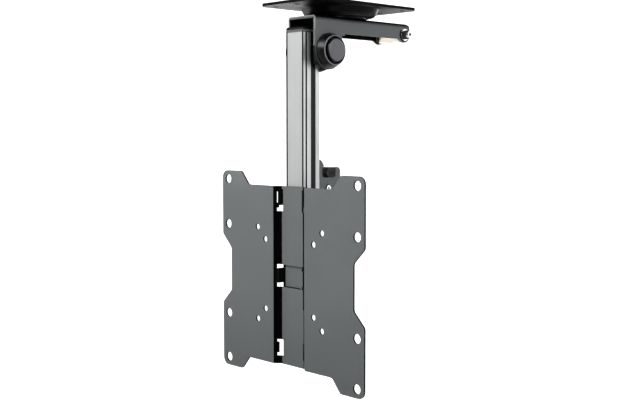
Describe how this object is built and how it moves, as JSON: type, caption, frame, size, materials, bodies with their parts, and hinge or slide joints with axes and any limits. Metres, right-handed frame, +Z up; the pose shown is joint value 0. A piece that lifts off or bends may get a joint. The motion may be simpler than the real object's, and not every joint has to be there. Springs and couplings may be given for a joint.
{
  "type": "tv ceiling mount",
  "caption": "Folding ceiling mount: a ceiling plate with a swivelling arm, an aluminium column that folds up under the arm, and a tilting screen plate.",
  "frame": {"origin": "centre of the ceiling plate's upper face, on the swivel axis", "axes": "+Z up towards the ceiling, -Y towards the viewer of the screen plate, +X to that viewer's right"},
  "size_m": [0.22, 0.1656, 0.3963],
  "materials": {
    "powder_coat_black": "semi-gloss black powder coat",
    "powder_coat_grey": "fine textured dark grey powder coat",
    "anodised_column": "satin anodised extrusion",
    "cast_knuckle": "black coated casting",
    "moulded_black": "moulded satin black plastic",
    "button_grey": "moulded dark grey plastic",
    "ribbed_black": "ribbed black plastic",
    "zinc_steel": "zinc plated steel",
    "spring_steel": "oiled spring steel",
    "claw_steel": "phosphated dark steel",
    "bright_chrome": "polished chrome",
    "collar_black": "black push-on collar",
    "buffer_cream": "soft cream moulding"
  },
  "bodies": {
    "ceiling": {"ceiling_plate": "powder_coat_black", "swivel_bolt": "zinc_steel", "swivel_nut": "zinc_steel"},
    "arm": {"swivel_disc": "moulded_black", "swivel_washer": "zinc_steel", "swivel_spring": "spring_steel", "arm_bracket": "powder_coat_grey", "hinge_axle": "zinc_steel", "hinge_axle_nut": "zinc_steel", "hinge_axle_washers": "zinc_steel", "hinge_friction_washers": "moulded_black", "hinge_cover_right": "moulded_black", "hinge_cover_left": "moulded_black", "cover_disc_right": "button_grey", "cover_disc_left": "button_grey", "striker_bolt": "bright_chrome", "striker_washers": "bright_chrome", "striker_collars": "collar_black", "striker_spacer": "moulded_black", "striker_buffer": "buffer_cream"},
    "column": {"column_profile": "anodised_column", "column_top_cap": "moulded_black", "column_foot_cap": "moulded_black", "slot_strip_right": "moulded_black", "slot_strip_left": "moulded_black", "hinge_knuckle": "cast_knuckle", "knuckle_screws": "zinc_steel", "knuckle_nuts": "zinc_steel", "latch_housing": "powder_coat_grey", "housing_screws": "zinc_steel", "housing_nuts": "zinc_steel", "latch_rivet": "bright_chrome", "tilt_bushes": "moulded_black"},
    "latch": {"latch_claw": "claw_steel", "latch_pin": "zinc_steel", "latch_grip": "ribbed_black", "latch_spring": "spring_steel"},
    "head": {"head_bracket": "powder_coat_grey", "tilt_bolt": "zinc_steel", "tilt_nut": "zinc_steel", "tilt_washers": "zinc_steel", "vesa_plate": "powder_coat_grey"}
  },
  "joints": [
    {"name": "swivel", "type": "hinge", "parent": "ceiling", "child": "arm", "pos_m": [0, 0, 0], "axis": [0, 0, 1], "continuous": true},
    {"name": "fold", "type": "hinge", "parent": "arm", "child": "column", "pos_m": [0, -0.0365, -0.0506], "axis": [1, 0, 0], "range_deg": [0, 90]},
    {"name": "latch", "type": "hinge", "parent": "column", "child": "latch", "pos_m": [0, -0.0297, -0.1945], "axis": [1, 0, 0], "range_deg": [0, 20]},
    {"name": "tilt", "type": "hinge", "parent": "column", "child": "head", "pos_m": [0, -0.0545, -0.2075], "axis": [1, 0, 0], "range_deg": [0, 15]}
  ]
}
